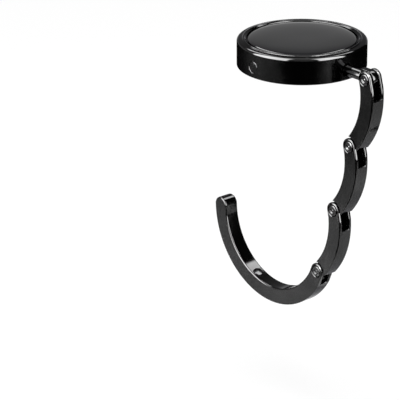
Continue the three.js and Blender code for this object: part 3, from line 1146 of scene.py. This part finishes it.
    def hook_arm(self) -> Piece:
        """The hook arm: a clevis, nearly half the ring and a full-round tip.

        Returns:
            The closed arm.
        """
        middle = self.outer - self.band / 2
        end = self.sweep - self.band / (2 * middle)
        centre = (-self.pin_ring + middle * math.cos(-end), middle * math.sin(-end))
        tip = arc(centre, self.band / 2, math.pi - end, 2 * math.pi - end, steps=40)[1:-1]
        arm = self.blank("hook_band", end, (tip,))
        self.cut_clevis(arm, self.hook_floor, self.openings[1] - self.openings[3])
        self.cut_magnet_pocket(arm, QUARTER)
        ease_edges(arm, self.eased)
        return arm

    def rivet(self, name: str) -> Piece:
        """A rivet with two low heads, each with a rounded edge and a flat bowl with a small raised middle.

        At a share s of the bowl's radius its depth is depth (1 - rise s^power), less the pip's raised cosine.

        Args:
            name: The piece's name.

        Returns:
            The closed rivet.
        """
        face = self.thickness / 2
        crest = face + self.head_proud
        share = 1.0 - np.linspace(0.0, 1.0, self.bowl_rows) ** self.bowl_crowding
        middle = self.pip_height * (0.5 + 0.5 * np.cos(math.pi * np.minimum(share / self.pip, 1.0)))
        floor = crest - self.bowl_depth * (1.0 - self.bowl_rise * share ** self.bowl_power) + middle
        lip_centre = (self.bowl + self.bowl_lip, crest - self.bowl_lip)
        head = np.concatenate([
            [[self.pin, face - self.head_depth], [self.head, face - self.head_depth]],
            arc((self.head - self.head_edge, crest - self.head_edge), self.head_edge, 0, QUARTER, steps=7),
            arc(lip_centre, self.bowl_lip, QUARTER, self.bowl_turn, steps=5),
            np.stack([self.bowl * share, floor], axis=-1),
        ])
        return turned(name, np.concatenate([head[::-1] * (1, -1), head]), Axis.Y, Sides.SMALL)

    def ring_magnet(self, name: str, angle: float) -> Piece:
        """A magnet plug in the band's inner face.

        Args:
            name: The piece's name.
            angle: Ring angle of the magnet.

        Returns:
            The closed plug.
        """
        start, edge = self.inner + self.magnet_sink, self.magnet_edge
        end = start + self.magnet_length
        profile = np.concatenate([
            [[0, start]],
            arc((self.magnet - edge, start + edge), edge, -QUARTER, 0, steps=5),
            [[self.magnet, end], [0, end]],
        ])
        return move_mesh(turned(name, profile, Axis.X, Sides.PLUG), self.ring_place(angle))

    def build(self, finishes: dict) -> None:
        """Makes and dresses the links, the hook arm, their rivets and magnets.

        Args:
            finishes: Material by name.
        """
        bodies, nickel = ("first_link", "middle_link", "last_link", "hook"), finishes["nickel"]
        for index, body in enumerate(bodies[:3]):
            link = self.link(f"curved_link_{index + 1}", self.openings[1], body == "middle_link")
            finish_piece(link, body, f"link_{index + 1}", nickel, self.places[index])
        finish_piece(self.hook_arm(), "hook", "hook_arm", nickel, self.places[3])
        for index, (body, place) in enumerate(zip(bodies, self.places)):
            rivet = self.rivet(f"rivet_{index + 1}")
            finish_piece(rivet, body, f"hinge_pin_{index + 1}", finishes["rivet"], place)
        for name, angle, node, index in (
            ("link_magnet", self.pitch / 2, "link_2_magnet", 1),
            ("arm_magnet", QUARTER, "hook_magnet", 3),
        ):
            magnet = self.ring_magnet(name, angle)
            finish_piece(magnet, bodies[index], node, finishes["magnet"], self.places[index])


@dataclass
class Rod:
    """The swivel rod with its lug, its retaining ring and the slider that guides it."""

    chain: Chain
    edge: float = 0.2
    lug: float = 2.1
    lug_thickness: float = 1.8
    lug_edge: float = 0.12
    lap: float = 0.15
    shoulder: float = 2.6
    neck: float = 1.0
    neck_edge: float = 0.1
    neck_step: float = 0.15
    eased: float = 0.06
    eased_from: float = 45.0
    collar_gap: float = 0.05
    collar_edge: float = 0.1
    slider_gap: float = 0.1
    slider_edge: float = 0.2

    def rod(self) -> Piece:
        """The rod: a turned shaft with a neck, joined to the flat lug and its stop heel.

        Returns:
            The closed rod, with the rod's axis on X.
        """
        start, step = box_mm("swivel_rod")[0][0], box_mm("slider_block")[1][0]
        pin_x = joint_mm("hinge_1")[0]
        end = pin_x - self.shoulder + self.lap
        profile = np.concatenate([
            [[0, start], [self.neck - self.neck_edge, start], [self.neck, start + self.neck_edge]],
            [[self.neck, step], [ROD_RADIUS, step + self.neck_step]],
            arc((ROD_RADIUS - self.edge, end - self.edge), self.edge, 0, QUARTER, steps=6),
            [[0, end]],
        ])
        shaft = turned("swivel_shaft", profile, Axis.X, Sides.SHAFT)
        outline = rotated(eye_outline(self.lug, self.shoulder, steps=40), QUARTER)
        lug = rounded_plate("lug", outline, self.lug_thickness, self.lug_edge, steps=4)
        self.chain.add_heel(lug, self.chain.openings[0])
        carve(shaft, move_mesh(lug, Matrix.Translation((pin_x, 0, 0))), Cut.JOIN)
        ease_edges(shaft, self.eased, self.eased_from)
        return shaft

    def collar(self) -> Piece:
        """The retaining ring: a short tube along X, as long and wide as its CAD node.

        Returns:
            The closed ring, with the rod's axis on X.
        """
        low, high = box_mm("rod_retaining_ring")
        start, end, edge = low[0], high[0], self.collar_edge
        radius, bore = float(high[1]), self.neck + self.collar_gap
        profile = np.array([
            [bore, start], [radius - edge, start], [radius, start + edge],
            [radius, end - edge], [radius - edge, end], [bore, end], [bore, start],
        ])
        return turned("retaining_collar", profile, Axis.X, Sides.SMALL)

    def slider(self) -> Piece:
        """The nylon slider: a block with rounded edges and the bore for the rod's neck.

        Returns:
            The closed block, with the rod's axis on X.
        """
        low, high = box_mm("slider_block")
        height = joint_mm("rod_swivel")[2]
        outline = rectangle(low[0], high[0], low[2] - height, high[2] - height)
        width = float(high[1] - low[1])
        block = rounded_plate("nylon_slider", outline, width, self.slider_edge, steps=4)
        bore = cylinder(self.neck + self.slider_gap, low[0] - BEYOND, high[0] + BEYOND)
        drill(block, bore, Axis.X, Sides.PLUG)
        return block

    def build(self, finishes: dict) -> None:
        """Makes and dresses the rod, its retaining ring and the slider.

        Args:
            finishes: Material by name.
        """
        axis = Matrix.Translation((0, 0, joint_mm("rod_swivel")[2]))
        finish_piece(self.rod(), "swivel", "swivel_rod", finishes["nickel"], axis)
        finish_piece(self.collar(), "swivel", "rod_retaining_ring", finishes["steel"], axis)
        finish_piece(self.slider(), "slide", "slider_block", finishes["nylon"], axis)


# Studio

def towards(bearing: Union[float, np.ndarray], height: Union[float, np.ndarray]) -> np.ndarray:
    """Direction at bearing a and height angle e, both in radians: (sin a cos e, -cos a cos e, sin e)."""
    a, e = bearing, height
    return np.stack([np.sin(a) * np.cos(e), -np.cos(a) * np.cos(e), np.sin(e)], axis=-1)


def level_sheet(name: str, half: float, height: float) -> Piece:
    """A level square about the middle: its corners at plus and minus half, at one height.

    Args:
        name: The sheet's name.
        half: Half its side.
        height: Its height.

    Returns:
        The sheet.
    """
    corners = rectangle(-half, half, -half, half)
    return mesh_object(name, np.column_stack([corners, np.full(len(corners), height)]), [range(len(corners))])


def veil_over(thing: Piece, sketch: Sketch, cover: Socket, glow: float) -> None:
    """Dresses a studio sheet in an even glow that only reflections see, and that ends where its cover does.

    Args:
        thing: The sheet.
        sketch: Its material.
        cover: How much of what is behind it the sheet hides.
        glow: Its brightness, near zero for a dark sheet.
    """
    clear = sketch.add("BsdfTransparent").outputs[0]
    lit = sketch.add("Emission", Strength=glow).outputs[0]
    sketch.feed(sketch.output, sketch.add("MixShader", cover, clear, lit).outputs[0])
    thing.data.materials.append(sketch.material)
    thing.visible_camera = False
    thing.visible_diffuse = False
    thing.visible_shadow = False
    thing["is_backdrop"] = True


@dataclass(frozen=True)
class Lamp:
    """A soft lamp aimed at the object: its direction in degrees, distance, size and light."""

    name: str
    azimuth: float
    elevation: float
    distance: float
    size: tuple
    watts: float

    def place(self, aim: Vector) -> None:
        """Puts the lamp in the scene.

        Args:
            aim: The point that it faces.
        """
        light = bpy.data.lights.new(self.name, "AREA")
        light.shape = "RECTANGLE"
        light.size, light.size_y = self.size
        light.energy = self.watts
        thing = bpy.data.objects.new(self.name, light)
        back = Vector(towards(math.radians(self.azimuth), math.radians(self.elevation)))
        thing.location = aim + back * self.distance
        thing.rotation_euler = back.to_track_quat("Z", "Y").to_euler()
        thing.visible_camera = False
        thing.visible_glossy = False
        bpy.context.scene.collection.objects.link(thing)


@dataclass(frozen=True)
class StudioCard:
    """A lit or dark studio card, part of a ball round the object, that only reflections see.

    At bearing a and height angle e its point is its distance times the direction there. Towards its sides, its
    lower and its upper edge it fades over the three given angles. All angles are in degrees.
    """

    name: str
    bearings: tuple
    heights: tuple
    distance: float
    glow: float
    fades: tuple
    rows: int = 65

    def place(self) -> None:
        """Stands the card up, with its cover, an eased fade 3 t^2 - 2 t^3 from each edge, as an attribute."""
        bearing, height = np.meshgrid(
            np.linspace(*self.bearings, self.rows), np.linspace(*self.heights, self.rows), indexing="ij")
        points = self.distance * towards(np.radians(bearing), np.radians(height))
        card = mesh_object(self.name, points.reshape(-1, 3), grid_faces(self.rows, self.rows, False))
        sides = np.minimum(bearing - self.bearings[0], self.bearings[1] - bearing) / self.fades[0]
        low = (height - self.heights[0]) / self.fades[1]
        high = (self.heights[1] - height) / self.fades[2]
        inward = np.clip(np.minimum(sides, np.minimum(low, high)), 0.0, 1.0)
        cover = card.data.attributes.new("cover", "FLOAT", "POINT")
        cover.data.foreach_set("value", (inward * inward * (3 - 2 * inward)).ravel().astype(np.float32))
        sketch = Sketch(f"{self.name}_paper")
        paper = sketch.add("Attribute")
        paper.attribute_name = "cover"
        veil_over(card, sketch, paper.outputs["Fac"], self.glow)


@dataclass(frozen=True)
class FloorCloth:
    """A dark studio cloth over the floor, which only reflections see.

    Its cover grows over the distances in starts and goes again over those in ends, in metres from the middle.
    Each stop of its bearings gives a share of cover there: 0 is at -X, 0.25 at -Y, 0.5 at +X and 0.75 at +Y.
    """

    name: str
    lift: float
    starts: tuple
    bearings: tuple
    ends: tuple = (3.0, 4.0)
    reach: float = 2.0
    glow: float = 0.01

    def place(self, height: float) -> None:
        """Lays the cloth over the floor: cover by bearing, times cover by distance from the middle.

        Args:
            height: The floor's height.
        """
        sketch = Sketch(f"{self.name}_weave")
        level = sketch.add("VectorMath", sketch.place, (1.0, 1.0, 0.0))
        level.operation = "MULTIPLY"
        distance = sketch.add("VectorMath", level.outputs[0])
        distance.operation = "LENGTH"
        begun = sketch.remap(distance.outputs["Value"], self.starts, fade=Fade.SMOOTH)
        unended = sketch.remap(distance.outputs["Value"], self.ends, (1.0, 0.0), Fade.SMOOTH)
        bearing = sketch.add("TexGradient", sketch.place)
        bearing.gradient_type = "RADIAL"
        share = sketch.ramp(bearing.outputs["Fac"], self.bearings, Fade.STRAIGHT)
        cover = sketch.combine(sketch.combine(begun, unended, Pair.PRODUCT), share, Pair.PRODUCT)
        veil_over(level_sheet(self.name, self.reach, height + self.lift), sketch, cover, self.glow)


STUDIO_CLOTHS = (
    FloorCloth("near_cloth", 0.002, (0.1, 0.21), (
        (0.0, 0.9), (0.043, 0.9), (0.11, 0.74), (0.165, 0.72), (0.25, 0.88), (0.285, 1.0), (0.44, 1.0),
        (0.475, 0.93), (0.515, 0.72), (0.54, 0.9), (0.57, 0.85), (0.6, 0.2), (0.7, 0.2), (0.83, 0.5),
        (0.9, 0.9), (1.0, 0.9),
    )),
    FloorCloth("far_cloth", 0.003, (0.262, 0.284), (
        (0.0, 0.6), (0.06, 0.0), (0.545, 0.0), (0.57, 0.9), (0.63, 0.95), (0.66, 1.0), (0.97, 1.0), (1.0, 0.6),
    )),
    FloorCloth("edge_cloth", 0.004, (0.03, 0.06), (
        (0.0, 0.0), (0.24, 0.0), (0.28, 1.0), (0.47, 1.0), (0.51, 0.0), (1.0, 0.0),
    ), ends=(0.215, 0.25)),
)
STUDIO_CARDS = (
    StudioCard("right_card", (73.0, 127.0), (-14.0, 74.0), 0.45, 14.0, (7.0, 5.0, 12.0)),
    StudioCard("left_card", (-46.0, 26.0), (-14.0, 74.0), 0.45, 14.0, (7.0, 5.0, 12.0)),
    StudioCard("back_left_card", (-114.0, -76.0), (34.0, 62.0), 0.5, 9.0, (6.0, 5.0, 5.0)),
    StudioCard("back_right_card", (170.0, 208.0), (40.0, 62.0), 0.5, 8.0, (6.0, 5.0, 5.0)),
    StudioCard("dark_card", (121.0, 192.0), (-9.0, 60.0), 0.6, 0.02, (3.0, 3.0, 8.0)),
    StudioCard("hook_card", (139.0, 168.0), (-46.0, -24.0), 0.125, 0.02, (4.0, 3.0, 4.0)),
)
SOFT_LAMP = Lamp("top_softbox", 50.0, 74.0, 0.9, (0.8, 0.6), 11.5)


@dataclass(frozen=True)
class Studio:
    """A white room with a pale floor below the hook, one soft lamp, and cards and cloths for the reflections.

    Each of the room's falls is the sine of a height angle, and the room's strength there.
    """

    floor_drop: float = 0.03
    floor_half: float = 6.0
    floor_colour: tuple = (0.9, 0.9, 0.9)
    floor_paler: float = 1.02
    floor_clouds: Pattern = Pattern(3.0, 2.0)
    floor_glow: float = 0.8
    floor_roughness: float = 0.9
    floor_gloss: float = 0.1
    falls: tuple = (
        (0.03, 0.95), (0.2, 0.44), (0.36, 0.35), (0.5, 0.28), (0.72, 0.14), (0.88, 0.3), (0.96, 1.1))

    def floor(self, height: float) -> None:
        """A plain pale floor, nearly white to the camera and in reflections, with the shadow kept.

        Args:
            height: Its height.
        """
        coat = Coat("pale_floor", Roughness=self.floor_roughness, Specular_IOR_Level=self.floor_gloss)
        clouds = coat.remap(coat.noise(self.floor_clouds), NOISE_SPAN)
        paler = tuple(value * self.floor_paler for value in self.floor_colour)
        coat.dress(Base_Color=coat.blend(clouds, rgba(self.floor_colour), rgba(paler)))
        rays = coat.add("LightPath").outputs
        seen = rays["Is Camera Ray"]
        for name in ("Is Glossy Ray", "Is Transmission Ray"):
            seen = coat.combine(seen, rays[name], Pair.LARGER)
        share = coat.remap(seen, UNIT_SPAN, (0.0, self.floor_glow))
        white = coat.add("Emission").outputs[0]
        mix = coat.add("MixShader", share, coat.shader.outputs[0], white)
        coat.feed(coat.output, mix.outputs[0])
        sheet = level_sheet("floor", self.floor_half, height)
        sheet.data.materials.append(coat.material)
        sheet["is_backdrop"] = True

    def world(self) -> None:
        """A room that is as pale as the floor at the horizon, and dimmer above it."""
        world = bpy.data.worlds.new("pale_room")
        bpy.context.scene.world = world
        world.use_nodes = True
        room = Wiring(world.node_tree)
        direction = room.add("TexCoord").outputs["Generated"]
        rise = room.add("SeparateXYZ", direction).outputs["Z"]
        strength = room.ramp(rise, self.falls, Fade.EASED)
        room.fill(world.node_tree.nodes["Background"], {"Color": rgba((1.0, 1.0, 1.0)), "Strength": strength})

    def camera(self) -> None:
        """The camera, turned so that the aimed point falls on its own pixel without any lens shift."""
        back = Vector(towards(VIEW_AZIMUTH, VIEW_ELEVATION))
        level = Vector((math.cos(VIEW_AZIMUTH), math.sin(VIEW_AZIMUTH), 0.0))
        upright = back.cross(level)
        right = math.cos(VIEW_ROLL) * level + math.sin(VIEW_ROLL) * upright
        up = -math.sin(VIEW_ROLL) * level + math.cos(VIEW_ROLL) * upright
        middle = PICTURE_SIZE / 2
        ahead = (
            -back
            + right * ((middle - AIMED_PIXEL[0]) / FOCAL_PIXELS)
            + up * ((AIMED_PIXEL[1] - middle) / FOCAL_PIXELS)
        ).normalized()
        side = (right - ahead * right.dot(ahead)).normalized()
        turn = Matrix((side, side.cross(ahead), -ahead)).transposed().to_4x4()
        lens = bpy.data.cameras.new("camera")
        lens.sensor_width = SENSOR_MM
        lens.lens = FOCAL_PIXELS / PICTURE_SIZE * SENSOR_MM
        lens.clip_start = NEAREST_SEEN
        thing = bpy.data.objects.new("camera", lens)
        thing.matrix_world = Matrix.Translation(Vector(VIEW_POINT) + back * VIEW_DISTANCE) @ turn
        bpy.context.scene.collection.objects.link(thing)
        bpy.context.scene.camera = thing

    def build(self) -> None:
        """Makes the whole studio."""
        floor_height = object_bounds()[0][2] - self.floor_drop
        self.floor(floor_height)
        self.world()
        SOFT_LAMP.place(Vector(VIEW_POINT))
        for card in STUDIO_CARDS:
            card.place()
        for cloth in STUDIO_CLOTHS:
            cloth.place(floor_height)
        self.camera()
        bpy.context.scene.view_settings.view_transform = "Standard"


def main() -> None:
    """Builds the object and the studio."""
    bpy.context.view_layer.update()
    finishes = {name: finish.material() for name, finish in FINISHES.items()}
    chain = Chain()
    Disc().build(finishes)
    Rod(chain).build(finishes)
    chain.build(finishes)
    Studio().build()


if __name__ == "__main__":
    logging.basicConfig(level=logging.INFO, format="%(name)s: %(message)s")
    main()
